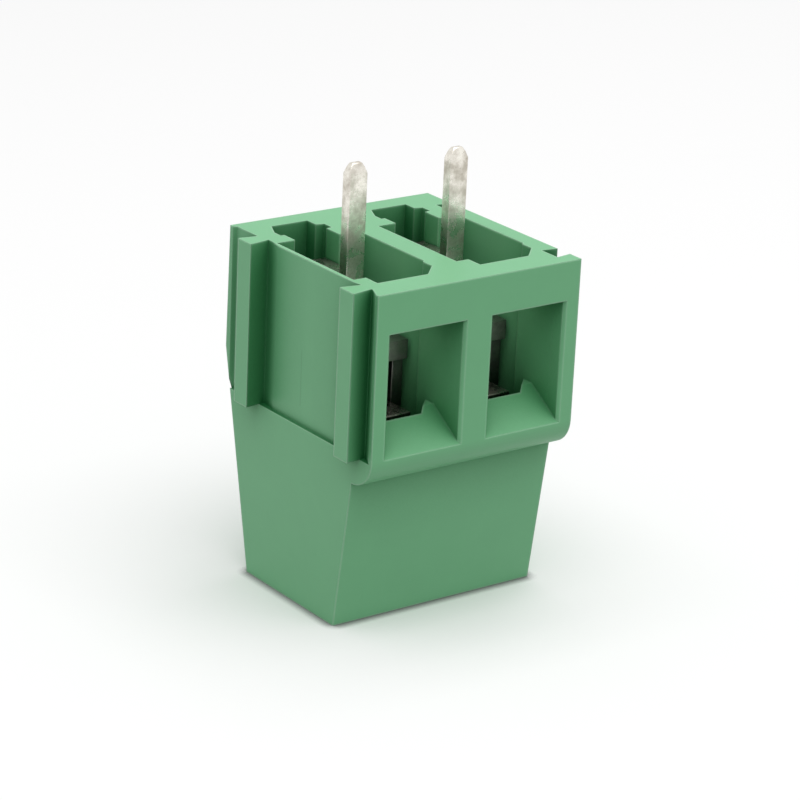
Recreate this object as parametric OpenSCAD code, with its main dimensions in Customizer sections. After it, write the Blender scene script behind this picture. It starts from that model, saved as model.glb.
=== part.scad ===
// Two-pole rising-clamp screw terminal for printed circuit boards, in millimetres.
// It stands on its screw face with the solder pins up. The origin lies on the board
// seating plane, midway between the two pins; X runs along the poles and -Y is the wire side.

/* [Poles] */
// Distance between the poles, which is also the width of one pole
pitch = 5.08; // [5.04:0.02:5.16]
// Distance of the pin row behind the wire face
pin_setback = 5.4; // [5.3:0.05:5.5]

/* [Housing outside] */
// Depth of the block at the board seating plane
block_d = 10.6; // [10.5:0.1:11.2]
// Height from the screw face to the board seating plane
block_h = 14.9; // [14.7:0.1:16]
// Height of the upright wire face, down to the lip
face_h = 7; // [6.8:0.1:7.2]
// Radius of the rounded lip under the wire entries
lip_r = 1.3; // [1:0.1:1.4]
// How far the foot is set back behind the wire face
foot_front = 2.2; // [1.8:0.1:2.3]
// How far the foot is set in from the back of the block
foot_back = 1.95; // [1.7:0.05:2.1]
// Height of the knee in the back face below the seating plane
knee_h = 5.3; // [4.5:0.1:6]
// How far the knee leans out behind the block
knee_out = 0.1; // [0:0.05:0.3]

/* [Dovetails] */
// Height of the dovetail ribs above the side
rib_h = 0.7; // [0.5:0.05:0.72]
// Width of a rib where it leaves the side
rib_base_w = 0.72; // [0.6:0.02:0.8]
// Width of a rib at its tip
rib_tip_w = 0.96; // [0.85:0.02:1]
// Centre of the front rib behind the wire face
rib_front_y = 1.16; // [1.12:0.02:1.2]
// Centre of the back rib behind the wire face
rib_back_y = 8.45; // [8.35:0.05:8.55]
// Gap all round between a rib and the groove of the next block
slide_gap = 0.04; // [0.03:0.01:0.06]
// Depth of the relief beside the ribs
relief = 0.15; // [0.1:0.01:0.2]

/* [Chambers] */
// Wall between a chamber and the ribbed side of its pole
rib_wall = 0.33; // [0.31:0.01:0.4]
// Wall between a chamber and the grooved side of its pole
groove_wall = 0.8; // [0.75:0.01:0.84]
// Wall over the wire entries, at the board seating plane
front_wall = 1.35; // [1.2:0.05:1.45]
// Back wall of the chambers
back_wall = 0.95; // [0.8:0.05:1.1]
// Depth of the corner blocks behind the wire face
corner_d = 2.15; // [2.1:0.05:2.2]

/* [Wire entries] */
// Width of an entry, inside its edge chamfer
entry_w = 3.62; // [3.5:0.02:3.64]
// Width of an entry at the inner end of its funnel
throat_w = 3.24; // [3:0.02:3.3]
// Edge chamfer of an entry
entry_chamfer = 0.13; // [0.08:0.01:0.15]
// Roof of the entries below the seating plane
entry_roof = 1.72; // [1.6:0.02:1.8]
// Floor of the throat below the seating plane
throat_floor = 5.72; // [5.6:0.02:5.85]
// Depth of the sloping funnel behind the wire face
funnel_d = 1.6; // [1.5:0.05:1.7]

/* [Contacts] */
// Thickness of the contact strip
strip_t = 0.7; // [0.6:0.05:0.8]
// Width of the current bar
bar_w = 1.9; // [1.6:0.05:1.95]
// Wire side of the current bar below the seating plane
bar_z = 6.15; // [6:0.05:6.3]
// Board side of the contact's leg below the seating plane
leg_z = 1.25; // [1.1:0.05:1.3]
// Drop of the leg from its shoulder to the root of the pin
crank = 0.5; // [0.3:0.05:0.55]
// Width of a solder pin
pin_w = 0.9; // [0.8:0.05:1]
// Thickness of a solder pin
pin_t = 0.5; // [0.4:0.05:0.6]
// Height of a pin above the seating plane
pin_h = 3.7; // [3:0.1:4.5]
// Length of the taper at the tip of a pin
pin_taper = 0.45; // [0.3:0.05:0.6]

/* [Clamps] */
// Outer width of the clamping sleeve
clamp_w = 3.2; // [3:0.05:3.25]
// Wall thickness of the sleeve's sides
clamp_side = 0.55; // [0.5:0.01:0.57]
// Plain side left between the jaw and the channel that the screw runs in
channel_end = 0.4; // [0.3:0.05:0.45]
// Thickness of the jaw on the board side of the wire
jaw_t = 0.85; // [0.7:0.05:0.9]
// Thickness of the threaded wall
nut_t = 1.4; // [1.2:0.05:1.6]
// Depth of the sleeve along the wire
clamp_d = 3.3; // [3.1:0.05:3.4]
// How far the jaw stands forward of the sleeve's sides
jaw_lip = 0.3; // [0.2:0.05:0.4]
// Opening between jaw and bar as the terminal stands
wire_gap = 1.8; // [1.6:0.05:1.9]
// Further travel to the fully open position
open_travel = 0.95; // [0.8:0.05:0.95]

/* [Screws] */
// Thread diameter
screw_d = 2.5; // [2.4:0.05:2.6]
// Head diameter
head_d = 3.8; // [3.75:0.05:3.9]
// Head height
head_h = 1.5; // [1.3:0.05:1.6]
// Width of the driver slot
slot_w = 0.8; // [0.6:0.05:1]
// Depth of the driver slot
slot_d = 0.8; // [0.6:0.05:0.9]
// Diameter of the driver's access bore, whose edge holds the head in
access_d = 3.6; // [3.3:0.05:3.7]
// Depth of the access bore
access_l = 0.6; // [0.5:0.05:0.8]

/* [Hidden] */
$fn = 64;
green = "mediumseagreen";
tinned = "gainsboro";
nickel = "silver";
zinc = "lightsteelblue";

eps = 0.01;
run_gap = 0.05;                       // running clearance of everything that moves
front = -pin_setback;                 // wire face
back = front + block_d;
half_w = pitch;                       // two poles wide
poles = [-pitch / 2, pitch / 2];

// Plan places in one pole, measured from its axis
cell_l = -pitch / 2 + rib_wall;
cell_r = pitch / 2 - groove_wall;
jamb_rib = 0.12;                      // low rib on the grooved wall, just inside the entry
jamb_rib_l = 0.6;
corner_w = cell_r - 0.9;              // start of the slanting corner at the front wall
seat_gap = 0.03;                      // around the riser in its slot

// Slot between tab and rear block that holds the riser
tab_w = 0.89;
tab_l = 0.8;
riser_w = 2.02;
riser_l = cell_l + tab_w + seat_gap;
riser_r = riser_l + riser_w;
riser_depth = 7.65;                   // riser behind the wire face
riser_front = front + riser_depth;
riser_back = riser_front + strip_t;
tab_front = riser_front - 0.05;
rear_block_front = riser_front - 0.65;
rear_block_face = riser_front - 0.25;
nick_front = riser_front + 0.72;      // small nick behind the rear block's edge
nick_back = nick_front + 0.55;
nick_w = 0.27;
ledge_z = bar_z + strip_t;            // ledges that carry the bar
leg_front = riser_front - 0.95;       // shoulder from which the leg slopes to the pin
bar_end = rear_block_front + 0.2;

// Clamp and shaft
clamp_front = -clamp_d / 2;
clamp_back = clamp_d / 2;
jaw_front = clamp_front - jaw_lip;
jaw_under = bar_z - wire_gap;         // wire side of the jaw, below the seating plane
shaft_gap = run_gap + 0.03;
nut_top = ledge_z + run_gap + open_travel + run_gap;
nut_under = nut_top + nut_t;
shaft_floor = nut_under + wire_gap + 2 * run_gap;

// Screw
head_seat = block_h - access_l - run_gap;
head_under = head_seat - head_h;
pocket_d = head_d + 0.3;

// A closed outline in plan, pulled down from one depth to another below the seating plane
module plan(points, top, bottom) {
    translate([0, 0, -bottom]) linear_extrude(bottom - top) polygon(points);
}

// A side outline of [y, z] points, as wide as the given span along X
module side_view(x0, x1) {
    translate([x0, 0, 0]) rotate([90, 0, 90]) linear_extrude(x1 - x0) children();
}

// A box from its lowest to its highest corner
module span(low, high) {
    translate(low) cube(high - low);
}

/* ---------- housing ---------- */

module block_profile() {
    polygon([
        [front, 0], [back, 0], [back + knee_out, -knee_h], [back - foot_back, -block_h],
        [front + foot_front, -block_h], [front + lip_r, -face_h - lip_r],
        [front + lip_r, -face_h], [front, -face_h]
    ]);
    translate([front + lip_r, -face_h]) circle(lip_r);
}

// Shallow relief on the ribbed side, with a deeper V beside each rib
module side_relief() {
    v = relief + 0.12;
    run = 1.25;                         // slope from the panel into the rear V
    foot = 0.6;
    x = -half_w;
    plan([
        [x - 1, front + 0.15], [x, front + 0.15], [x + v, front + rib_front_y - rib_base_w / 2 - 0.03],
        [x + v, front + rib_front_y], [x + relief, front + rib_front_y + rib_base_w],
        [x + relief, front + rib_back_y - run], [x + v, front + rib_back_y - foot],
        [x + v, front + rib_back_y], [x + relief, front + rib_back_y + rib_base_w / 2],
        [x + relief, back - 0.35], [x, back - 0.2], [x - 1, back - 0.2]
    ], -eps, face_h + 0.1);
}

// Dovetail standing on a face at x, its tip towards dir
module dovetail(x, y, base_w, tip_w, h, dir, root, length) {
    flare = (tip_w - base_w) / 2 / h * root;
    plan([
        [x - dir * root, y - base_w / 2 + flare], [x + dir * h, y - tip_w / 2],
        [x + dir * h, y + tip_w / 2], [x - dir * root, y + base_w / 2 - flare]
    ], 0, length);
}

module ribs() {
    for (y = [rib_front_y, rib_back_y])
        dovetail(-half_w, front + y, rib_base_w, rib_tip_w, rib_h, -1, 0.4, face_h + 0.1);
}

module grooves() {
    for (y = [rib_front_y, rib_back_y])
        translate([0, 0, eps])
            dovetail(half_w, front + y, rib_base_w + 2 * slide_gap, rib_tip_w + 2 * slide_gap,
                     rib_h + slide_gap, -1, 0.2, face_h + 0.1 + eps);
}

// Open chamber of one pole, down to the ledges
module chamber() {
    slot_l = riser_l - seat_gap;
    slot_r = riser_r + seat_gap;
    rib_x = cell_r - jamb_rib;
    throat = throat_w / 2;
    plan([
        [cell_l, front + corner_d], [-throat, front + corner_d], [-throat, front + front_wall],
        [corner_w, front + front_wall], [rib_x, front + corner_d],
        [rib_x, front + corner_d + jamb_rib_l], [cell_r, front + corner_d + jamb_rib_l + jamb_rib],
        [cell_r, rear_block_front], [slot_r, rear_block_face], [slot_r, nick_front],
        [slot_r + nick_w, nick_front], [slot_r + nick_w, nick_back],
        [slot_r - 0.1, nick_back + 0.1], [slot_r - 0.1, back - back_wall],
        [slot_l + 0.2, back - back_wall], [slot_l - 0.17, tab_front + tab_l + 0.45],
        [slot_l - 0.17, tab_front + tab_l], [slot_l, tab_front + tab_l], [slot_l, tab_front],
        [cell_l, tab_front]
    ], -eps, ledge_z);
}

// Shaft below the ledges in which the sleeve slides
module clamp_shaft() {
    half = clamp_w / 2 + shaft_gap;
    span([-half, jaw_front - shaft_gap, -shaft_floor], [half, clamp_back + shaft_gap, 0]);
}

module screw_pocket() {
    pocket_l = head_seat + run_gap - shaft_floor;
    translate([0, 0, -head_seat - run_gap]) cylinder(h = pocket_l + eps, d = pocket_d);
    translate([0, 0, -block_h - eps]) cylinder(h = access_l + head_h, d = access_d);
}

// Funnel for one wire: chamfered mouth, sloping floor and sides, straight throat
module wire_entry() {
    mouth = entry_w / 2 + entry_chamfer;
    y1 = front + funnel_d;
    intersection() {
        plan([
            [-mouth, front - eps], [mouth, front - eps], [mouth, front], [entry_w / 2, front + entry_chamfer],
            [throat_w / 2, y1], [throat_w / 2, front + corner_d + 0.2],
            [-throat_w / 2, front + corner_d + 0.2], [-throat_w / 2, y1],
            [-entry_w / 2, front + entry_chamfer], [-mouth, front]
        ], entry_roof, block_h);
        side_view(-pitch, pitch) polygon([
            [front - funnel_d, -entry_roof], [front - funnel_d, -face_h], [front, -face_h], [y1, -throat_floor],
            [front + corner_d + 0.2, -throat_floor], [front + corner_d + 0.2, -entry_roof]
        ]);
    }
}

module housing() {
    color(green) {
        difference() {
            side_view(-half_w, half_w) block_profile();
            side_relief();
            grooves();
            for (x = poles) translate([x, 0, 0]) {
                chamber();
                clamp_shaft();
                screw_pocket();
                wire_entry();
            }
        }
        ribs();
    }
}

/* ---------- contacts ---------- */

// Side outline of the strip: bar, riser, leg and cranked root of the pin
module strip_profile() {
    bar_front = front + corner_d + seat_gap;
    root_z = leg_z + crank;
    polygon([
        [bar_front, -bar_z], [riser_front, -bar_z], [riser_front, -leg_z - strip_t],
        [leg_front, -leg_z - strip_t], [pin_t / 2, -root_z - strip_t], [-pin_t / 2, -root_z - strip_t],
        [-pin_t / 2, 0], [pin_t / 2, 0], [pin_t / 2, -root_z], [leg_front, -leg_z],
        [riser_back, -leg_z], [riser_back, -ledge_z], [bar_front, -ledge_z]
    ]);
}

// Solder pin above the seating plane, bevelled on all four sides at its tip
module pin_tip(w, t) {
    top = pin_h - pin_taper;
    cheek = 0.1;
    cheek_z = top + pin_taper * 0.6;
    intersection() {
        rotate([90, 0, 0]) translate([0, 0, -t / 2]) linear_extrude(t) polygon([
            [-w / 2, 0], [w / 2, 0], [w / 2, top], [w / 2 - cheek, cheek_z], [w / 4, pin_h],
            [-w / 4, pin_h], [-w / 2 + cheek, cheek_z], [-w / 2, top]
        ]);
        side_view(-w / 2, w / 2) polygon([
            [-t / 2, 0], [t / 2, 0], [t / 2, top], [t / 4, pin_h], [-t / 4, pin_h], [-t / 2, top]
        ]);
    }
}

module contact() {
    color(tinned) {
        intersection() {
            side_view(-pitch / 2, pitch / 2) strip_profile();
            union() {
                span([riser_l, leg_front, -leg_z - strip_t], [riser_r, riser_back, -leg_z]);
                span([riser_l, bar_end - eps, -ledge_z], [riser_r, riser_back, -leg_z]);
                span([-bar_w / 2, front, -ledge_z], [bar_w / 2, bar_end, -bar_z]);
                span([-pin_w / 2, -pin_t, -bar_z / 2], [pin_w / 2, riser_front, 0]);
            }
        }
        pin_tip(pin_w, pin_t);
    }
}

/* ---------- clamps ---------- */

module clamp() {
    half = clamp_w / 2;
    color(nickel) {
        difference() {
            union() {
                span([-half, clamp_front, -nut_under], [half, clamp_back, -jaw_under + jaw_t]);
                span([-half, jaw_front, -jaw_under], [half, clamp_back, -jaw_under + jaw_t]);
            }
            span([-half + clamp_side, jaw_front - jaw_lip, -nut_top], [half - clamp_side, clamp_back + jaw_lip, -jaw_under]);
            translate([0, 0, -nut_under - nut_t])
                cylinder(h = nut_under + nut_t - jaw_under - channel_end, d = screw_d + 2 * run_gap);
        }
    }
}

/* ---------- screws ---------- */

module screw() {
    tip_z = ledge_z + run_gap;
    chamfer = 0.3;
    color(zinc) {
        difference() {
            rotate_extrude() polygon([
                [0, -head_seat], [head_d / 2 - 0.15, -head_seat], [head_d / 2, -head_seat + 0.15],
                [head_d / 2, -head_under], [screw_d / 2, -head_under], [screw_d / 2, -tip_z - chamfer],
                [screw_d / 2 - chamfer, -tip_z], [0, -tip_z]
            ]);
            span([-head_d, -slot_w / 2, -head_seat - 1], [head_d, slot_w / 2, -head_seat + slot_d]);
        }
    }
}

housing();
translate([poles[0], 0, 0]) contact();  // contact_1
translate([poles[0], 0, 0]) clamp();  // clamp_1
translate([poles[0], 0, 0]) screw();  // screw_1
translate([poles[1], 0, 0]) contact();  // contact_2
translate([poles[1], 0, 0]) clamp();  // clamp_2
translate([poles[1], 0, 0]) screw();  // screw_2
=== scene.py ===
"""A two-pole rising-clamp screw terminal for a circuit board.

The finished look of each piece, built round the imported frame.
"""

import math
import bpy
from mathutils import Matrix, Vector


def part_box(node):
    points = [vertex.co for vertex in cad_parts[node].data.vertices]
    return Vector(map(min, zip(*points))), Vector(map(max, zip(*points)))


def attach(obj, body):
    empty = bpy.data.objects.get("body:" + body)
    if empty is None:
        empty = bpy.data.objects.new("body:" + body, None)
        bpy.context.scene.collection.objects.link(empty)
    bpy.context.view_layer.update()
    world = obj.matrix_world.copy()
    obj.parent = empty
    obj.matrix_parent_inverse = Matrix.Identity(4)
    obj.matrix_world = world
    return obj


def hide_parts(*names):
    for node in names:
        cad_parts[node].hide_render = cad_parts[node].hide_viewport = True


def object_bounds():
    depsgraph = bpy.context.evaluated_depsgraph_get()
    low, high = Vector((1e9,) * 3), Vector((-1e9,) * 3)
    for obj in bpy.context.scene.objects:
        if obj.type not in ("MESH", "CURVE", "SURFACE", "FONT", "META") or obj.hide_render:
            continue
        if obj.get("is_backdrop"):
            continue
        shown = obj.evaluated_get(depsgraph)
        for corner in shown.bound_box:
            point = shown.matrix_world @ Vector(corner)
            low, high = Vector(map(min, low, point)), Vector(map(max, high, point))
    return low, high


bl_info = {
    "name": "Screw Terminal Look",
    "version": (1, 0, 0),
    "blender": (4, 5, 0),
    "location": "3D View > Sidebar > Terminal",
    "description": "Moulded housing, tinned contacts, clamps and screws of a two-pole screw terminal",
    "category": "Object",
}

import bmesh
import bpy
from bpy.props import (
    FloatProperty,
    FloatVectorProperty,
    IntProperty,
    PointerProperty,
)
from mathutils import Matrix, Vector

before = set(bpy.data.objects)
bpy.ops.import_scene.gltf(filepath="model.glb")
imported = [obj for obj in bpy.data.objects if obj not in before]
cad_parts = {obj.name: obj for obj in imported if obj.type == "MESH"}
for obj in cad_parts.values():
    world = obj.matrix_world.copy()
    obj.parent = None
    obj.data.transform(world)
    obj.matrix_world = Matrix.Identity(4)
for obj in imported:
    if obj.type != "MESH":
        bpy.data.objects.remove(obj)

MM = 0.001
POLES = (1, 2)
BLACK = (0.0, 0.0, 0.0)

# Cleaning, rounding and shading of a copied CAD mesh
WELD = 0.0005 * MM  # corners nearer than this are merged
FLAT_TURN = math.radians(0.5)  # faces that turn less than this are merged
EASED_TURN = math.radians(30.0)  # edges that turn more than this are rounded
SHARP_TURN = math.radians(38.0)  # edges that turn more than this stay sharp in the shading
EVEN_WEIGHT = 50  # face weights count by area alone

# The screw's thread
FLANK_RISE = 1.35  # over 1, so that the crest is a narrow flat
ROOT_FLAT = 0.15  # share of the wave lost at the root
ON_LEVEL = 0.01 * MM  # a corner this near a height lies at it
ON_ROUND = 0.03 * MM  # a corner this near the shank's radius lies on it
FEWEST_CORNERS = 12  # a shank with fewer corners isn't round
CORE_SINK = 0.02 * MM  # the core lies this far inside the thread's root
THREAD_LIFT = 0.10 * MM  # from the head to the thread's foot
THREAD_SHORT = 0.12 * MM  # how much shorter the thread is than the shank

# Masks that the materials share
EDGE_GAIN = 8.0  # how fast the edge mask fills as the softened normal turns
EDGE_AIR = 4.0  # how far open air is looked for, in softened edges
EDGE_AIR_POWER = 3.0  # how firmly covered edges are left out
PATCH_GAIN, PATCH_CUT = 3.2, 1.1  # contrast of the broad patches
SPECK_GAIN, SPECK_CUT = 9.0, 5.4  # contrast of the sparse specks
SPECK_SIZE = 2.2  # size of a speck, in fine grains
PATCH_TONE = 0.82  # body colour in a patch
LINE_TONE = 0.5  # body colour in the insert line

# Sockets of a Mix node that mixes colours
MIX_SHARE, MIX_FIRST, MIX_SECOND, MIX_RESULT = 0, 6, 7, 2

# Camera
FILM_WIDTH = 36.0  # millimetres
NEAREST, FARTHEST = 1.0 * MM, 10.0  # what the camera sees, in metres


# ---------------------------------------------------------------- settings


def length(name, default, about):
    """A length in metres, shown in the scene's unit."""
    return FloatProperty(
        name=name,
        description=about,
        default=default,
        precision=5,
        unit="LENGTH",
        subtype="DISTANCE",
    )


def angle(name, degrees, about):
    """An angle, given in degrees."""
    return FloatProperty(
        name=name, description=about, default=math.radians(degrees), subtype="ANGLE"
    )


def colour(name, default, about):
    """A linear colour."""
    return FloatVectorProperty(
        name=name,
        description=about,
        default=default,
        size=3,
        min=0.0,
        max=1.0,
        subtype="COLOR",
    )


def share(name, default, about):
    """A number from 0 to 1."""
    return FloatProperty(
        name=name,
        description=about,
        default=default,
        min=0.0,
        max=1.0,
        subtype="FACTOR",
    )


def amount(name, default, about, unit="NONE"):
    """A number that isn't below 0."""
    return FloatProperty(name=name, description=about, default=default, min=0.0, unit=unit)


def whole(name, default, least, about):
    """A whole number and the least that it may be."""
    return IntProperty(name=name, description=about, default=default, min=least)


class TerminalHousingSettings(bpy.types.PropertyGroup):
    """Sizes and finish of the moulded block."""

    edge_radius: length("Edge radius", 0.05 * MM, "Rounding left by the mould on every outer edge")
    edge_segments: whole("Edge segments", 2, 1, "Steps round each rounded edge")
    soft_edge: length("Soft edge", 0.13 * MM, "How far the shading of an edge is softened")
    body_colour: colour("Body colour", (0.170, 0.505, 0.245), "Green of the moulded plastic")
    patch_size: length("Patch size", 1.6 * MM, "Size of the broad changes of tone")
    patches: share("Patches", 0.16, "Strength of the broad changes of tone")
    # Painted highlight: a paler green laid along the outer edges, where light would catch them
    edge_highlight_colour: colour("Edge colour", (0.480, 0.820, 0.560), "Paler green along worn edges")
    edge_highlight_strength: share("Edge highlight", 0.70, "Strength of the paler edges")
    # Painted shade: faces turn towards this green the deeper they lie in a recess
    recess_shade_colour: colour("Deep colour", (0.010, 0.130, 0.035), "Green of the deep recesses")
    deep_reach: length("Deep reach", 3.0 * MM, "How far a recess is looked for round a point")
    deep_power: amount("Deep power", 2.0, "How fast a recess darkens")
    roughness: share("Roughness", 0.42, "Satin finish of the moulded faces")
    gloss: share("Gloss", 0.5, "Specular level of the open faces")
    refraction: amount("Refraction", 1.5, "Refractive index of the plastic")
    grain: length("Grain", 0.07 * MM, "Size of the fine mould texture")
    grain_height: length("Grain height", 0.004 * MM, "Depth of the fine mould texture")
    grain_strength: share("Grain strength", 0.5, "Strength of the fine mould texture")
    line_y: length("Mould line place", -0.10 * MM, "Where the insert line stands along the side")
    line_side: length("Mould line side", -4.5 * MM, "The insert line shows only beyond this side")
    line_low: length("Mould line foot", -6.3 * MM, "Lower end of the insert line")
    line_high: length("Mould line head", -3.9 * MM, "Upper end of the insert line")
    line_width: length("Mould line width", 0.05 * MM, "Width of the insert line")
    line_mark: share("Mould line strength", 0.30, "How clearly the insert line shows")


class TerminalMetalSettings(bpy.types.PropertyGroup):
    """Sizes and finish of the metal parts."""

    strip_edge: length("Strip edge", 0.05 * MM, "Rounding on the edges of the contact strips")
    cage_edge: length("Cage edge", 0.04 * MM, "Rounding on the edges of the clamps")
    screw_edge: length("Screw edge", 0.05 * MM, "Rounding on the edges of the screws")
    edge_segments: whole("Edge segments", 2, 1, "Steps round each rounded edge")
    soft_edge: length("Soft edge", 0.06 * MM, "How far the shading of an edge is softened")
    tin_colour: colour("Tin", (0.900, 0.870, 0.790), "Tinned contact strip")
    tin_stain: colour("Tin stain", (0.300, 0.250, 0.190), "Dull patches on the tinned strip")
    nickel_colour: colour("Nickel", (0.560, 0.540, 0.500), "Plated clamp")
    nickel_stain: colour("Nickel shade", (0.200, 0.195, 0.180), "Sheared and dull parts of the clamp")
    zinc_colour: colour("Zinc", (0.600, 0.620, 0.640), "Plated screw")
    zinc_stain: colour("Zinc shade", (0.330, 0.330, 0.330), "Dull parts of the screw")
    patch_size: length("Patch size", 0.50 * MM, "Size of the dull patches")
    # Painted shade: metal turns towards this colour the deeper it lies in the block
    recess_shade_colour: colour("Deep shade", (0.020, 0.028, 0.022), "Metal deep inside the block")
    deep_reach: length("Deep reach", 2.0 * MM, "How far a recess is looked for round a point")
    deep_power: amount("Deep power", 1.5, "How fast a recess darkens")
    grain_height: length("Grain height", 0.006 * MM, "Depth of the fine grain")
    grain_strength: share("Grain strength", 0.6, "Strength of the fine grain")


class TerminalThreadSettings(bpy.types.PropertyGroup):
    """Sizes of the clamping screws' threads."""

    pitch: length("Pitch", 0.45 * MM, "Travel in one turn of the right-hand thread")
    depth: length("Thread depth", 0.25 * MM, "Height of the thread over its root")
    run_out: length("Run-out", 0.35 * MM, "Length over which the thread fades at each end")
    head_height: length("Head height", 1.50 * MM, "Height of the slotted head")
    around: whole("Around", 48, 12, "Steps round the shank")
    rows: whole("Rows", 12, 6, "Steps along one turn of the thread")


class TerminalSerrationSettings(bpy.types.PropertyGroup):
    """Sizes of the grooves that hold the wire."""

    count: whole("Count", 7, 1, "Grooves on each gripping face")
    spacing: length("Spacing", 0.42 * MM, "Distance between grooves")
    depth: length("Depth", 0.10 * MM, "Depth of each groove")
    bar_face: length("Bar face", -6.15 * MM, "Height of the current bar's gripping face")
    bar_reach: length("Bar groove length", 2.10 * MM, "Length of the grooves across the bar")
    jaw_face: length("Jaw face", -4.35 * MM, "Height of the clamp jaw's gripping face")
    jaw_reach: length("Jaw groove length", 2.00 * MM, "Length of the grooves across the jaw")
    first: length("First groove", -1.45 * MM, "Place of the groove nearest the wire side")


class TerminalStudioSettings(bpy.types.PropertyGroup):
    """Camera, light and ground."""

    azimuth: angle("Azimuth", 36.74, "Turn of the view to the right of straight ahead")
    elevation: angle("Elevation", 20.17, "Height of the camera over the object")
    roll: angle("Roll", 2.654, "Tilt of the camera about its own axis")
    distance: length("Distance", 128.5 * MM, "From the camera to the point it looks at")
    target: FloatVectorProperty(
        name="Target",
        description="Point that the camera looks at",
        default=(0.10 * MM, -0.17 * MM, -6.93 * MM),
        size=3,
        subtype="XYZ",
        unit="LENGTH",
    )
    lens: amount("Lens", 138.16, "Focal length in millimetres", unit="CAMERA")
    panel_power: amount("Panel power", 2.15, "Power of the soft panel overhead", unit="POWER")
    panel_size: length("Panel size", 600.0 * MM, "Side of the soft panel overhead")
    panel_height: length("Panel height", 500.0 * MM, "Height of the soft panel over the ground")
    panel_forward: length("Panel forward", 120.0 * MM, "How far the panel stands on the wire side")
    sky_level: amount("Sky level", 0.46, "Level of the even light from all round")
    ground_tone: share("Ground tone", 1.0, "Whiteness of the ground")
    ground_roughness: share("Ground roughness", 0.9, "Matt finish of the ground")
    ground_size: length("Ground size", 250.0 * MM, "Side of the ground")
    # Painted contact shadow: the ground darkens close round where the block stands
    contact_shadow_reach: length("Contact reach", 0.5 * MM, "How far the dark line under the block spreads")
    contact_shadow_power: amount("Contact power", 2.0, "How dark the line under the block is")


# ---------------------------------------------------------------- meshes


def link(obj):
    """Put a new object in the scene."""
    bpy.context.scene.collection.objects.link(obj)
    return obj


def cad_copy(node, name, material):
    """A merged copy of a CAD node's mesh in flat faces, under a new name."""
    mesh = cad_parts[node].data.copy()
    mesh.name = name
    for layer in ("custom_normal", "sharp_edge", "sharp_face"):
        if layer in mesh.attributes:
            mesh.attributes.remove(mesh.attributes[layer])
    mesh.materials.clear()
    mesh.materials.append(material)
    bm = bmesh.new()
    bm.from_mesh(mesh)
    bmesh.ops.remove_doubles(bm, verts=bm.verts, dist=WELD)
    bmesh.ops.dissolve_limit(bm, angle_limit=FLAT_TURN, verts=bm.verts, edges=bm.edges)
    for face in bm.faces:
        face.material_index = 0
    bm.to_mesh(mesh)
    bm.free()
    return link(bpy.data.objects.new(name, mesh))


def ease_edges(obj, radius, segments):
    """Round every edge that turns sharply."""
    bm = bmesh.new()
    bm.from_mesh(obj.data)
    sharp = [
        e for e in bm.edges if len(e.link_faces) == 2 and e.calc_face_angle(0.0) > EASED_TURN
    ]
    bmesh.ops.bevel(
        bm,
        geom=sharp,
        offset=radius,
        offset_type="OFFSET",
        segments=segments,
        profile=0.5,
        affect="EDGES",
        clamp_overlap=True,
    )
    bm.to_mesh(obj.data)
    bm.free()


def bake(obj):
    """Turn an object with modifiers into a plain mesh."""
    graph = bpy.context.evaluated_depsgraph_get()
    mesh = bpy.data.meshes.new_from_object(
        obj.evaluated_get(graph), preserve_all_data_layers=True, depsgraph=graph
    )
    if not mesh.polygons:
        raise RuntimeError(f"{obj.name} came out empty")
    old, name = obj.data, obj.data.name
    obj.modifiers.clear()
    obj.data = mesh
    bpy.data.meshes.remove(old)
    mesh.name = name


def settle_shading(obj):
    """Smooth over the rounded edges while the broad faces stay flat."""
    obj.data.shade_smooth()
    obj.data.set_sharp_from_angle(angle=SHARP_TURN)
    weight = obj.modifiers.new("Face weight", "WEIGHTED_NORMAL")
    weight.mode = "FACE_AREA"
    weight.weight = EVEN_WEIGHT
    weight.keep_sharp = True
    bake(obj)


def settle_piece(obj, node, body):
    """Hand a finished piece to the frame."""
    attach(obj, body)
    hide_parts(node)


def thin_shank(obj, axis, head, depth):
    """Thin the plain shank to its thread's core; returns its first radius and its top."""
    above = [v for v in obj.data.vertices if v.co.z > head - ON_LEVEL]
    out = {v.index: math.hypot(v.co.x - axis.x, v.co.y - axis.y) for v in above}
    radius = max(out[v.index] for v in above if v.co.z > head + ON_LEVEL)
    shank = [v for v in above if abs(out[v.index] - radius) < ON_ROUND]
    if len(shank) < FEWEST_CORNERS:
        raise RuntimeError(f"{obj.name} has no round shank over its head")
    core = (radius - depth - CORE_SINK) / radius
    for v in shank:
        v.co.x = axis.x + (v.co.x - axis.x) * core
        v.co.y = axis.y + (v.co.y - axis.y) * core
    return radius, max(v.co.z for v in shank)


# ---------------------------------------------------------------- node trees


def add(tree, kind, **settings):
    """A node in a tree, with its settings."""
    node = tree.nodes.new(kind)
    for key, value in settings.items():
        setattr(node, key, value)
    return node


def math_node(tree, operation, first, second=None, third=None, clamp=False):
    """A math node fed by sockets or numbers; returns its output."""
    node = add(tree, "ShaderNodeMath", operation=operation, use_clamp=clamp)
    for socket, value in zip(node.inputs, (first, second, third)):
        if value is None:
            continue
        if isinstance(value, (int, float)):
            socket.default_value = value
        else:
            tree.links.new(value, socket)
    return node.outputs[0]


def new_tree(name, kind, inputs, outputs):
    """A node tree with named sockets; returns the tree, its input node and its output node."""
    tree = bpy.data.node_groups.new(name, kind)
    for label, socket, default in inputs:
        item = tree.interface.new_socket(name=label, in_out="INPUT", socket_type=socket)
        if default is not None:
            item.default_value = default
    for label, socket in outputs:
        tree.interface.new_socket(name=label, in_out="OUTPUT", socket_type=socket)
    return tree, add(tree, "NodeGroupInput"), add(tree, "NodeGroupOutput")


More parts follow.
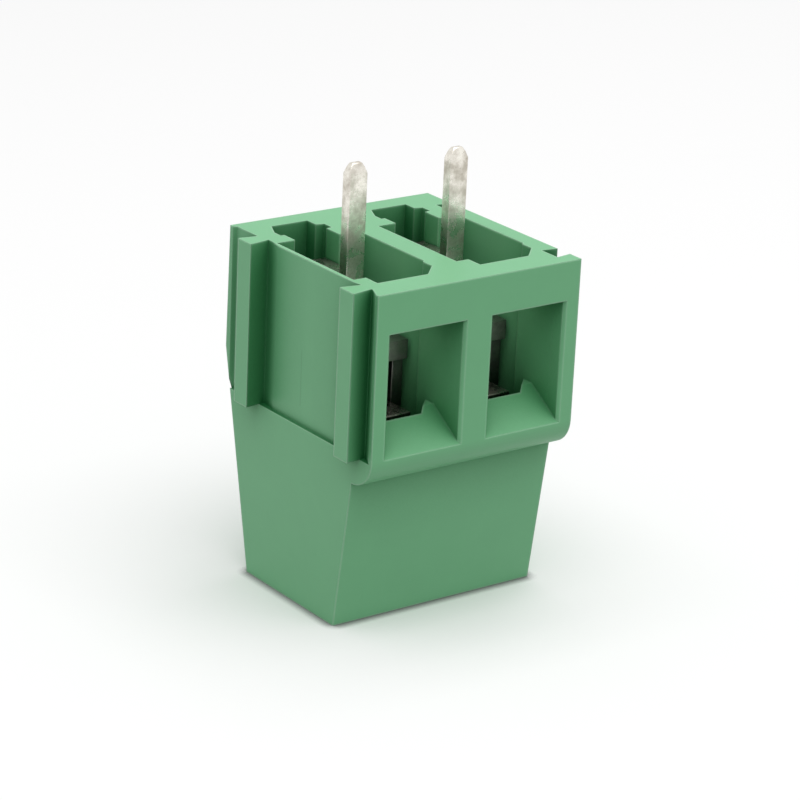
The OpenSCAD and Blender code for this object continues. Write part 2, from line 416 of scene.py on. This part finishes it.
def end_tree(tree, mesh, given, made):
    """End a geometry tree: no instances left, and one material."""
    real = add(tree, "GeometryNodeRealizeInstances")
    tree.links.new(mesh, real.inputs[0])
    coat = add(tree, "GeometryNodeSetMaterial")
    tree.links.new(real.outputs[0], coat.inputs["Geometry"])
    tree.links.new(given.outputs["Material"], coat.inputs["Material"])
    tree.links.new(coat.outputs[0], made.inputs[0])


def apply_tree(obj, tree, values):
    """Run a geometry tree on an object with named inputs and keep the result."""
    modifier = obj.modifiers.new(tree.name, "NODES")
    modifier.node_group = tree
    known = {
        item.name: item.identifier
        for item in tree.interface.items_tree
        if item.item_type == "SOCKET" and item.in_out == "INPUT"
    }
    for label, value in values.items():
        modifier[known[label]] = value
    obj.update_tag()
    bake(obj)


def thread_tree():
    """Adds a closed right-hand thread, standing on a point of the shank, to a mesh."""
    tree, given, made = new_tree(
        "Right-hand thread",
        "GeometryNodeTree",
        [
            ("Geometry", "NodeSocketGeometry", None),
            ("Foot", "NodeSocketVector", (0.0, 0.0, 0.0)),
            ("Radius", "NodeSocketFloat", 1.25 * MM),
            ("Depth", "NodeSocketFloat", 0.25 * MM),
            ("Pitch", "NodeSocketFloat", 0.45 * MM),
            ("Length", "NodeSocketFloat", 5.0 * MM),
            ("Run-out", "NodeSocketFloat", 0.3 * MM),
            ("Around", "NodeSocketInt", 48),
            ("Rows", "NodeSocketInt", 12),
            ("Material", "NodeSocketMaterial", None),
        ],
        [("Geometry", "NodeSocketGeometry")],
    )
    links = tree.links
    size = given.outputs
    turns = math_node(tree, "DIVIDE", size["Length"], size["Pitch"])
    rows = math_node(tree, "MULTIPLY", turns, size["Rows"])
    tube = add(tree, "GeometryNodeMeshCylinder", fill_type="NGON")
    links.new(size["Around"], tube.inputs["Vertices"])
    links.new(rows, tube.inputs["Side Segments"])
    links.new(size["Radius"], tube.inputs["Radius"])
    links.new(size["Length"], tube.inputs["Depth"])
    place = add(tree, "GeometryNodeInputPosition")
    split = add(tree, "ShaderNodeSeparateXYZ")
    links.new(place.outputs[0], split.inputs[0])
    x, y, z = split.outputs

    # A wave that climbs one pitch in each turn, with narrow flats at root and crest
    turned = math_node(tree, "DIVIDE", math_node(tree, "ARCTAN2", y, x), math.tau)
    along = math_node(tree, "DIVIDE", z, size["Pitch"])
    phase = math_node(tree, "FRACT", math_node(tree, "SUBTRACT", along, turned))
    wave = math_node(tree, "ABSOLUTE", math_node(tree, "MULTIPLY_ADD", phase, 2.0, -1.0))
    ridge = math_node(tree, "MULTIPLY_ADD", wave, FLANK_RISE, -ROOT_FLAT, clamp=True)

    # It fades towards both ends, and sets how far each point lies from the axis
    half = math_node(tree, "DIVIDE", size["Length"], 2.0)
    end = math_node(tree, "SUBTRACT", half, math_node(tree, "ABSOLUTE", z))
    fade = math_node(tree, "DIVIDE", end, size["Run-out"], clamp=True)
    height = math_node(tree, "MULTIPLY", ridge, fade)
    sunk = math_node(tree, "SUBTRACT", 1.0, height)
    low = math_node(tree, "MULTIPLY", size["Depth"], sunk)
    left = math_node(tree, "SUBTRACT", size["Radius"], low)
    scale = math_node(tree, "DIVIDE", left, size["Radius"])

    joined = add(tree, "ShaderNodeCombineXYZ")
    links.new(math_node(tree, "MULTIPLY", x, scale), joined.inputs[0])
    links.new(math_node(tree, "MULTIPLY", y, scale), joined.inputs[1])
    links.new(math_node(tree, "MULTIPLY_ADD", size["Length"], 0.5, z), joined.inputs[2])
    lifted = add(tree, "ShaderNodeVectorMath", operation="ADD")
    links.new(joined.outputs[0], lifted.inputs[0])
    links.new(size["Foot"], lifted.inputs[1])
    moved = add(tree, "GeometryNodeSetPosition")
    links.new(tube.outputs["Mesh"], moved.inputs["Geometry"])
    links.new(lifted.outputs[0], moved.inputs["Position"])
    both = add(tree, "GeometryNodeJoinGeometry")
    links.new(moved.outputs[0], both.inputs[0])
    links.new(size["Geometry"], both.inputs[0])
    end_tree(tree, both.outputs[0], given, made)
    return tree


def groove_tree():
    """Cuts a row of V grooves, each running along X, into a mesh."""
    tree, given, made = new_tree(
        "Gripping grooves",
        "GeometryNodeTree",
        [
            ("Geometry", "NodeSocketGeometry", None),
            ("First", "NodeSocketVector", (0.0, 0.0, 0.0)),
            ("Spacing", "NodeSocketFloat", 0.4 * MM),
            ("Count", "NodeSocketInt", 7),
            ("Reach", "NodeSocketFloat", 2.0 * MM),
            ("Depth", "NodeSocketFloat", 0.1 * MM),
            ("Material", "NodeSocketMaterial", None),
        ],
        [("Geometry", "NodeSocketGeometry")],
    )
    links = tree.links
    size = given.outputs
    step = add(tree, "ShaderNodeCombineXYZ")
    links.new(size["Spacing"], step.inputs[1])
    row = add(tree, "GeometryNodeMeshLine", mode="OFFSET", count_mode="TOTAL")
    links.new(size["Count"], row.inputs["Count"])
    links.new(size["First"], row.inputs["Start Location"])
    links.new(step.outputs[0], row.inputs["Offset"])

    # A square bar stood on its corner, sunk by half its diagonal, cuts a V
    side = math_node(tree, "MULTIPLY", size["Depth"], math.sqrt(2.0))
    section = add(tree, "ShaderNodeCombineXYZ")
    links.new(size["Reach"], section.inputs[0])
    links.new(side, section.inputs[1])
    links.new(side, section.inputs[2])
    bar = add(tree, "GeometryNodeMeshCube")
    links.new(section.outputs[0], bar.inputs["Size"])
    spread = add(tree, "GeometryNodeInstanceOnPoints")
    spread.inputs["Rotation"].default_value = (math.pi / 4, 0.0, 0.0)
    links.new(row.outputs[0], spread.inputs["Points"])
    links.new(bar.outputs[0], spread.inputs["Instance"])
    tools = add(tree, "GeometryNodeRealizeInstances")
    links.new(spread.outputs[0], tools.inputs[0])
    cut = add(tree, "GeometryNodeMeshBoolean", operation="DIFFERENCE", solver="EXACT")
    links.new(size["Geometry"], cut.inputs[0])
    links.new(tools.outputs[0], cut.inputs[1])
    end_tree(tree, cut.outputs[0], given, made)
    return tree


# ---------------------------------------------------------------- materials


def named_group(name, build):
    """A shared node group, built the first time it is asked for."""
    return bpy.data.node_groups.get(name) or build(name)


def soft_edge_group(name):
    """Softened edge normal and a mask along outer edges, where the plastic paints a highlight."""
    tree, given, made = new_tree(
        name,
        "ShaderNodeTree",
        [("Reach", "NodeSocketFloat", 0.1 * MM)],
        [("Mask", "NodeSocketFloat"), ("Normal", "NodeSocketVector")],
    )
    links = tree.links
    bevel = add(tree, "ShaderNodeBevel", samples=6)
    links.new(given.outputs["Reach"], bevel.inputs["Radius"])
    true = add(tree, "ShaderNodeNewGeometry")
    dot = add(tree, "ShaderNodeVectorMath", operation="DOT_PRODUCT")
    links.new(bevel.outputs[0], dot.inputs[0])
    links.new(true.outputs["True Normal"], dot.inputs[1])
    turn = math_node(tree, "SUBTRACT", 1.0, dot.outputs["Value"])
    edge = math_node(tree, "MULTIPLY", turn, EDGE_GAIN, clamp=True)
    air = add(tree, "ShaderNodeAmbientOcclusion", samples=4)
    reach = math_node(tree, "MULTIPLY", given.outputs["Reach"], EDGE_AIR)
    links.new(reach, air.inputs["Distance"])
    open_air = math_node(tree, "POWER", air.outputs["AO"], EDGE_AIR_POWER)
    links.new(math_node(tree, "MULTIPLY", edge, open_air), made.inputs["Mask"])
    links.new(bevel.outputs[0], made.inputs["Normal"])
    return tree


def recess_group(name, own=False):
    """How open a point is to its surroundings, the mask for painted shade in recesses."""
    tree, given, made = new_tree(
        name,
        "ShaderNodeTree",
        [("Reach", "NodeSocketFloat", 2.4 * MM), ("Power", "NodeSocketFloat", 1.3)],
        [("Open", "NodeSocketFloat")],
    )
    air = add(tree, "ShaderNodeAmbientOcclusion", samples=8, only_local=own)
    tree.links.new(given.outputs["Reach"], air.inputs["Distance"])
    shade = math_node(tree, "POWER", air.outputs["AO"], given.outputs["Power"])
    tree.links.new(shade, made.inputs["Open"])
    return tree


def own_recess_group(name):
    """How open a point is, looking at its own piece alone."""
    return recess_group(name, own=True)


def mottle_group(name):
    """Fine grain, broad patches and sparse specks in object space."""
    tree, given, made = new_tree(
        name,
        "ShaderNodeTree",
        [("Fine size", "NodeSocketFloat", 0.07 * MM), ("Broad size", "NodeSocketFloat", 0.6 * MM)],
        [("Fine", "NodeSocketFloat"), ("Broad", "NodeSocketFloat"), ("Specks", "NodeSocketFloat")],
    )
    links = tree.links
    space = add(tree, "ShaderNodeTexCoord")

    def noise(size, detail, rough):
        node = add(tree, "ShaderNodeTexNoise", noise_dimensions="3D")
        links.new(space.outputs["Object"], node.inputs["Vector"])
        links.new(math_node(tree, "DIVIDE", 1.0, size), node.inputs["Scale"])
        node.inputs["Detail"].default_value = detail
        node.inputs["Roughness"].default_value = rough
        return node.outputs[0]

    fine = noise(given.outputs["Fine size"], detail=2.0, rough=0.6)
    broad = noise(given.outputs["Broad size"], detail=4.0, rough=0.62)
    speck = math_node(tree, "MULTIPLY", given.outputs["Fine size"], SPECK_SIZE)
    spots = noise(speck, detail=3.0, rough=0.7)
    patches = math_node(tree, "MULTIPLY_ADD", broad, PATCH_GAIN, -PATCH_CUT, clamp=True)
    specks = math_node(tree, "MULTIPLY_ADD", spots, SPECK_GAIN, -SPECK_CUT, clamp=True)
    links.new(fine, made.inputs["Fine"])
    links.new(patches, made.inputs["Broad"])
    links.new(specks, made.inputs["Specks"])
    return tree


def use_group(tree, name, build, **values):
    """A shared node group in a material, with plain numbers on its inputs."""
    node = add(tree, "ShaderNodeGroup", node_tree=named_group(name, build))
    for label, value in values.items():
        node.inputs[label.replace("_", " ")].default_value = value
    return node


def mix_colour(tree, share_of, first, second):
    """Mix two colours by a mask; returns the output."""
    node = add(tree, "ShaderNodeMix", data_type="RGBA", clamp_factor=True)
    places = (MIX_SHARE, MIX_FIRST, MIX_SECOND)
    for place, value in zip(places, (share_of, first, second)):
        socket = node.inputs[place]
        if isinstance(value, bpy.types.NodeSocket):
            tree.links.new(value, socket)
        else:
            socket.default_value = (*value, 1.0)
    return node.outputs[MIX_RESULT]


def tint(tree, mask, strength, under, over):
    """Lay one colour over another by a mask, at a strength from 0 to 1."""
    return mix_colour(tree, math_node(tree, "MULTIPLY", mask, strength), under, over)


def toned(base, by):
    """A colour made darker by a factor."""
    return tuple(c * by for c in base)


def grain_relief(tree, shader, mottle, edge, look):
    """Fine grain over the softened edges, as the shader's normal."""
    bump = add(tree, "ShaderNodeBump")
    bump.inputs["Strength"].default_value = look.grain_strength
    bump.inputs["Distance"].default_value = look.grain_height
    tree.links.new(mottle.outputs["Fine"], bump.inputs["Height"])
    tree.links.new(edge.outputs["Normal"], bump.inputs["Normal"])
    tree.links.new(bump.outputs[0], shader.inputs["Normal"])


def insert_line(tree, look):
    """A mask of the thin upright line on one side of the block."""
    space = add(tree, "ShaderNodeTexCoord")
    split = add(tree, "ShaderNodeSeparateXYZ")
    tree.links.new(space.outputs["Object"], split.inputs[0])
    x, y, z = split.outputs
    beside = math_node(tree, "COMPARE", y, look.line_y, look.line_width / 2)
    middle = (look.line_low + look.line_high) / 2
    tall = math_node(tree, "COMPARE", z, middle, (look.line_high - look.line_low) / 2)
    outer = math_node(tree, "LESS_THAN", x, look.line_side)
    return math_node(tree, "MULTIPLY", math_node(tree, "MULTIPLY", beside, tall), outer)


def new_material(name):
    """A material with one Principled shader; returns the material, its tree and the shader."""
    material = bpy.data.materials.new(name)
    material.use_nodes = True
    tree = material.node_tree
    tree.nodes.clear()
    shader = add(tree, "ShaderNodeBsdfPrincipled")
    out = add(tree, "ShaderNodeOutputMaterial")
    tree.links.new(shader.outputs[0], out.inputs["Surface"])
    return material, tree, shader


def plastic_material(look):
    """Satin moulded plastic with fine grain, a painted highlight along its edges, painted shade in
    its recesses and a faint insert line on one side.
    """
    material, tree, shader = new_material("Moulded green")
    links = tree.links
    edge = use_group(tree, "Soft edge", soft_edge_group, Reach=look.soft_edge)
    mottle = use_group(
        tree, "Mottle", mottle_group, Fine_size=look.grain, Broad_size=look.patch_size
    )
    body = look.body_colour
    patched = tint(tree, mottle.outputs["Broad"], look.patches, body, toned(body, PATCH_TONE))
    # Painted highlight along the outer edges
    edged = tint(tree, edge.outputs["Mask"], look.edge_highlight_strength, patched, look.edge_highlight_colour)
    line = insert_line(tree, look)
    lined = tint(tree, line, look.line_mark, edged, toned(body, LINE_TONE))
    # Painted shade: recesses darken towards the deep green, by how closed in each point is
    recess = use_group(
        tree, "Own recess", own_recess_group, Reach=look.deep_reach, Power=look.deep_power
    )
    deep = mix_colour(tree, recess.outputs["Open"], look.recess_shade_colour, lined)
    links.new(deep, shader.inputs["Base Color"])
    gloss = math_node(tree, "MULTIPLY", recess.outputs["Open"], look.gloss)
    links.new(gloss, shader.inputs["Specular IOR Level"])
    grain_relief(tree, shader, mottle, edge, look)
    shader.inputs["Roughness"].default_value = look.roughness
    shader.inputs["IOR"].default_value = look.refraction
    return material


def metal_material(look, name, bright, stain, roughness, patches, specks, speck_colour, grain):
    """Plated metal with dull patches, specks, painted shade in its recesses and a sheen between two
    values of roughness.
    """
    material, tree, shader = new_material(name)
    links = tree.links
    edge = use_group(tree, "Soft edge", soft_edge_group, Reach=look.soft_edge)
    mottle = use_group(tree, "Mottle", mottle_group, Fine_size=grain, Broad_size=look.patch_size)
    dull = tint(tree, mottle.outputs["Broad"], patches, bright, stain)
    dotted = tint(tree, mottle.outputs["Specks"], specks, dull, speck_colour)
    # Painted shade: metal deep in the block darkens, by how closed in each point is
    recess = use_group(tree, "Recess", recess_group, Reach=look.deep_reach, Power=look.deep_power)
    deep = mix_colour(tree, recess.outputs["Open"], look.recess_shade_colour, dotted)
    links.new(deep, shader.inputs["Base Color"])
    sheen = add(tree, "ShaderNodeMapRange")
    sheen.inputs["To Min"].default_value, sheen.inputs["To Max"].default_value = roughness
    links.new(mottle.outputs["Broad"], sheen.inputs["Value"])
    links.new(sheen.outputs[0], shader.inputs["Roughness"])
    grain_relief(tree, shader, mottle, edge, look)
    shader.inputs["Metallic"].default_value = 1.0
    return material


def tin_material(look):
    """Bright tin with brownish dull patches."""
    return metal_material(
        look,
        "Tinned strip",
        bright=look.tin_colour,
        stain=look.tin_stain,
        roughness=(0.20, 0.40),
        patches=0.60,
        specks=0.4,
        speck_colour=look.tin_stain,
        grain=0.05 * MM,
    )


def nickel_material(look):
    """Greyer nickel plate with bright specks."""
    return metal_material(
        look,
        "Plated clamp",
        bright=look.nickel_colour,
        stain=look.nickel_stain,
        roughness=(0.28, 0.46),
        patches=0.60,
        specks=0.8,
        speck_colour=look.nickel_colour,
        grain=0.06 * MM,
    )


def zinc_material(look):
    """Bluish zinc plate."""
    return metal_material(
        look,
        "Plated screw",
        bright=look.zinc_colour,
        stain=look.zinc_stain,
        roughness=(0.22, 0.38),
        patches=0.45,
        specks=0.3,
        speck_colour=look.zinc_stain,
        grain=0.04 * MM,
    )


def ground_material(look):
    """Matt white ground with a painted contact shadow, a dark line where the block stands, open from
    below.
    """
    material, tree, shader = new_material("White ground")
    links = tree.links
    # Painted contact shadow: the ground darkens where the block stands close over it
    near = add(tree, "ShaderNodeAmbientOcclusion", samples=8)
    near.inputs["Distance"].default_value = look.contact_shadow_reach
    clear_of = math_node(tree, "POWER", near.outputs["AO"], look.contact_shadow_power)
    tone = mix_colour(tree, clear_of, BLACK, (look.ground_tone,) * 3)
    links.new(tone, shader.inputs["Base Color"])
    shader.inputs["Roughness"].default_value = look.ground_roughness
    shader.inputs["Specular IOR Level"].default_value = 0.0
    under = add(tree, "ShaderNodeNewGeometry")
    clear = add(tree, "ShaderNodeBsdfTransparent")
    choice = add(tree, "ShaderNodeMixShader")
    links.new(under.outputs["Backfacing"], choice.inputs[0])
    links.new(shader.outputs[0], choice.inputs[1])
    links.new(clear.outputs[0], choice.inputs[2])
    out = next(n for n in tree.nodes if n.type == "OUTPUT_MATERIAL")
    links.new(choice.outputs[0], out.inputs["Surface"])
    return material


# ---------------------------------------------------------------- studio


def seen_directly(tree):
    """1 for camera, glossy and transmission rays, else 0."""
    path = add(tree, "ShaderNodeLightPath")
    both = math_node(tree, "ADD", path.outputs["Is Camera Ray"], path.outputs["Is Glossy Ray"])
    return math_node(tree, "ADD", both, path.outputs["Is Transmission Ray"], clamp=True)


def lay_ground(look, level):
    """A square ground that takes the block's shadow and neither lights nor shades the block."""
    half = look.ground_size / 2
    mesh = bpy.data.meshes.new("ground")
    corners = [(-half, -half, level), (half, -half, level), (half, half, level), (-half, half, level)]
    mesh.from_pydata(corners, [], [(0, 1, 2, 3)])
    mesh.materials.append(ground_material(look))
    ground = link(bpy.data.objects.new("ground", mesh))
    ground.visible_diffuse = False
    ground.visible_shadow = False
    ground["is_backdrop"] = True


def hang_panel(look, level):
    """A broad soft panel overhead, a little to the wire side."""
    lamp = bpy.data.lights.new("overhead_panel", "AREA")
    lamp.shape = "SQUARE"
    lamp.size = look.panel_size
    lamp.energy = look.panel_power
    panel = link(bpy.data.objects.new("overhead_panel", lamp))
    panel.location = (0.0, -look.panel_forward, level + look.panel_height)
    panel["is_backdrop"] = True


def even_sky(look, scene):
    """Even light from all round, and pure white where it is seen."""
    world = bpy.data.worlds.new("Even sky")
    scene.world = world
    world.use_nodes = True
    tree = world.node_tree
    tree.nodes.clear()
    sky = add(tree, "ShaderNodeBackground")
    out = add(tree, "ShaderNodeOutputWorld")
    strength = math_node(
        tree, "MULTIPLY_ADD", seen_directly(tree), 1.0 - look.sky_level, look.sky_level
    )
    tree.links.new(strength, sky.inputs["Strength"])
    sky.inputs["Color"].default_value = (1.0, 1.0, 1.0, 1.0)
    tree.links.new(sky.outputs[0], out.inputs["Surface"])


def aim_camera(look, scene):
    """A long lens that looks down at the wire side and the left side."""
    turn, rise, roll = look.azimuth, look.elevation, look.roll
    ahead = Vector(
        (math.sin(turn) * math.cos(rise), math.cos(turn) * math.cos(rise), -math.sin(rise))
    )
    level_right = ahead.cross(Vector((0.0, 0.0, 1.0))).normalized()
    level_up = level_right.cross(ahead)
    right = level_right * math.cos(roll) + level_up * math.sin(roll)
    up = level_up * math.cos(roll) - level_right * math.sin(roll)
    eye = bpy.data.cameras.new("camera")
    eye.sensor_width = FILM_WIDTH
    eye.lens = look.lens
    eye.clip_start, eye.clip_end = NEAREST, FARTHEST
    camera = link(bpy.data.objects.new("camera", eye))
    turned = Matrix((right, up, -ahead)).transposed().to_4x4()
    place = Vector(look.target) - ahead * look.distance
    camera.matrix_world = Matrix.Translation(place) @ turned
    scene.camera = camera


# ---------------------------------------------------------------- operators


class TERMINAL_OT_housing(bpy.types.Operator):
    """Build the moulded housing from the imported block"""

    bl_idname = "terminal.build_housing"
    bl_label = "Build housing"

    def execute(self, context):
        look = context.scene.terminal_housing
        obj = cad_copy("housing", "housing_moulding", plastic_material(look))
        ease_edges(obj, look.edge_radius, look.edge_segments)
        settle_shading(obj)
        settle_piece(obj, "housing", "base")
        return {"FINISHED"}


class TERMINAL_OT_contacts(bpy.types.Operator):
    """Build the tinned contact strips with grooved current bars"""

    bl_idname = "terminal.build_contacts"
    bl_label = "Build contacts"

    def execute(self, context):
        look = context.scene.terminal_metal
        grip = context.scene.terminal_serration
        material = tin_material(look)
        tree = groove_tree()
        for pole in POLES:
            node = f"contact_{pole}"
            obj = cad_copy(node, f"contact_strip_{pole}", material)
            ease_edges(obj, look.strip_edge, look.edge_segments)
            low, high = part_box(f"screw_{pole}")
            apply_tree(
                obj,
                tree,
                {
                    "First": ((low.x + high.x) / 2, grip.first, grip.bar_face),
                    "Spacing": grip.spacing,
                    "Count": grip.count,
                    "Reach": grip.bar_reach,
                    "Depth": grip.depth,
                    "Material": material,
                },
            )
            settle_shading(obj)
            settle_piece(obj, node, "base")
        return {"FINISHED"}


class TERMINAL_OT_clamps(bpy.types.Operator):
    """Build the plated clamps with grooved jaws"""

    bl_idname = "terminal.build_clamps"
    bl_label = "Build clamps"

    def execute(self, context):
        look = context.scene.terminal_metal
        grip = context.scene.terminal_serration
        material = nickel_material(look)
        tree = groove_tree()
        for pole in POLES:
            node = f"clamp_{pole}"
            low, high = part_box(node)
            obj = cad_copy(node, f"clamp_cage_{pole}", material)
            ease_edges(obj, look.cage_edge, look.edge_segments)
            apply_tree(
                obj,
                tree,
                {
                    "First": ((low.x + high.x) / 2, grip.first, grip.jaw_face),
                    "Spacing": grip.spacing,
                    "Count": grip.count,
                    "Reach": grip.jaw_reach,
                    "Depth": grip.depth,
                    "Material": material,
                },
            )
            settle_shading(obj)
            settle_piece(obj, node, node)
        return {"FINISHED"}


class TERMINAL_OT_screws(bpy.types.Operator):
    """Build the slotted clamping screws with real threads"""

    bl_idname = "terminal.build_screws"
    bl_label = "Build screws"

    def execute(self, context):
        look = context.scene.terminal_metal
        cut = context.scene.terminal_thread
        material = zinc_material(look)
        tree = thread_tree()
        for pole in POLES:
            node = f"screw_{pole}"
            low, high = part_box(node)
            axis = (low + high) / 2
            head = low.z + cut.head_height
            obj = cad_copy(node, f"terminal_screw_{pole}", material)
            radius, top = thin_shank(obj, axis, head, cut.depth)
            ease_edges(obj, look.screw_edge, look.edge_segments)
            apply_tree(
                obj,
                tree,
                {
                    "Foot": (axis.x, axis.y, head + THREAD_LIFT),
                    "Radius": radius,
                    "Depth": cut.depth,
                    "Pitch": cut.pitch,
                    "Length": top - head - THREAD_SHORT,
                    "Run-out": cut.run_out,
                    "Around": cut.around,
                    "Rows": cut.rows,
                    "Material": material,
                },
            )
            settle_shading(obj)
            settle_piece(obj, node, node)
        return {"FINISHED"}


class TERMINAL_OT_studio(bpy.types.Operator):
    """Set the ground, the light and the camera"""

    bl_idname = "terminal.build_studio"
    bl_label = "Build studio"

    def execute(self, context):
        scene = context.scene
        look = scene.terminal_studio
        low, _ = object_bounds()
        lay_ground(look, low.z)
        hang_panel(look, low.z)
        even_sky(look, scene)
        aim_camera(look, scene)
        scene.view_settings.view_transform = "Standard"
        return {"FINISHED"}


class TERMINAL_PT_sidebar(bpy.types.Panel):
    """Settings and build steps of the screw terminal"""

    bl_idname = "TERMINAL_PT_sidebar"
    bl_label = "Screw terminal"
    bl_space_type = "VIEW_3D"
    bl_region_type = "UI"
    bl_category = "Terminal"

    def draw(self, context):
        layout = self.layout
        for group in GROUPS:
            box = layout.box()
            box.label(text=group.replace("terminal_", "").capitalize())
            settings = getattr(context.scene, group)
            for name in settings.__annotations__:
                box.prop(settings, name)
        for step in STEPS:
            layout.operator(step.bl_idname)


GROUPS = {
    "terminal_housing": TerminalHousingSettings,
    "terminal_metal": TerminalMetalSettings,
    "terminal_thread": TerminalThreadSettings,
    "terminal_serration": TerminalSerrationSettings,
    "terminal_studio": TerminalStudioSettings,
}
STEPS = (
    TERMINAL_OT_housing,
    TERMINAL_OT_contacts,
    TERMINAL_OT_clamps,
    TERMINAL_OT_screws,
    TERMINAL_OT_studio,
)


def register():
    """Register the settings, the build steps and the panel."""
    for name, kind in GROUPS.items():
        bpy.utils.register_class(kind)
        setattr(bpy.types.Scene, name, PointerProperty(type=kind))
    for kind in (*STEPS, TERMINAL_PT_sidebar):
        bpy.utils.register_class(kind)


def unregister():
    """Remove what register() added."""
    for kind in (TERMINAL_PT_sidebar, *reversed(STEPS)):
        bpy.utils.unregister_class(kind)
    for name, kind in reversed(GROUPS.items()):
        delattr(bpy.types.Scene, name)
        bpy.utils.unregister_class(kind)


def main():
    """Build every piece and the studio."""
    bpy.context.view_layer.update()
    register()
    for step in STEPS:
        group, name = step.bl_idname.split(".")
        getattr(getattr(bpy.ops, group), name)()


if __name__ == "__main__":
    main()
